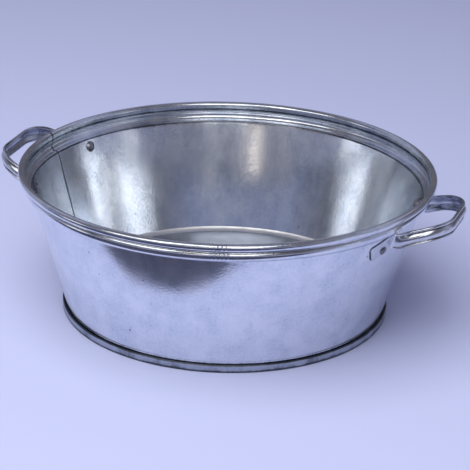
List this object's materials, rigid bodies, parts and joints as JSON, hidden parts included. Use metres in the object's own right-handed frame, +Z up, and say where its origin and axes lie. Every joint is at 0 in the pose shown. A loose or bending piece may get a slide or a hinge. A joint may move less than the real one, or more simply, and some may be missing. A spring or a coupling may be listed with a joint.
{
  "type": "galvanized basin",
  "caption": "Round flared sheet-steel wash basin with a wired rolled rim, a swaged bead, a folded foot seam, a lock-seamed side and riveted strap handles.",
  "frame": {"origin": "on the tub's axis, in the plane of the resting ring under the foot seam", "axes": "+Z up along the tub's axis; +X towards the right handle, through both handles; +Y towards the back"},
  "size_m": [0.459, 0.4, 0.142],
  "materials": {
    "galvanized_sheet": "bright hot-dip galvanized sheet with faint vertical streaks",
    "galvanized_strap": "bright pressed galvanized strap",
    "rivet_steel": "zinc-coated hammered rivet head, darker than the sheet",
    "steel_wire": "plain drawn steel wire, hidden in the roll",
    "zinc_seal": "smooth zinc run into the floor joint"
  },
  "bodies": {
    "root": {"wall": "galvanized_sheet", "floor_pan": "galvanized_sheet", "rim_wire": "steel_wire", "floor_fillet": "zinc_seal", "left_handle": "galvanized_strap", "right_handle": "galvanized_strap", "left_front_rivet": "rivet_steel", "left_back_rivet": "rivet_steel", "right_front_rivet": "rivet_steel", "right_back_rivet": "rivet_steel"}
  },
  "joints": []
}
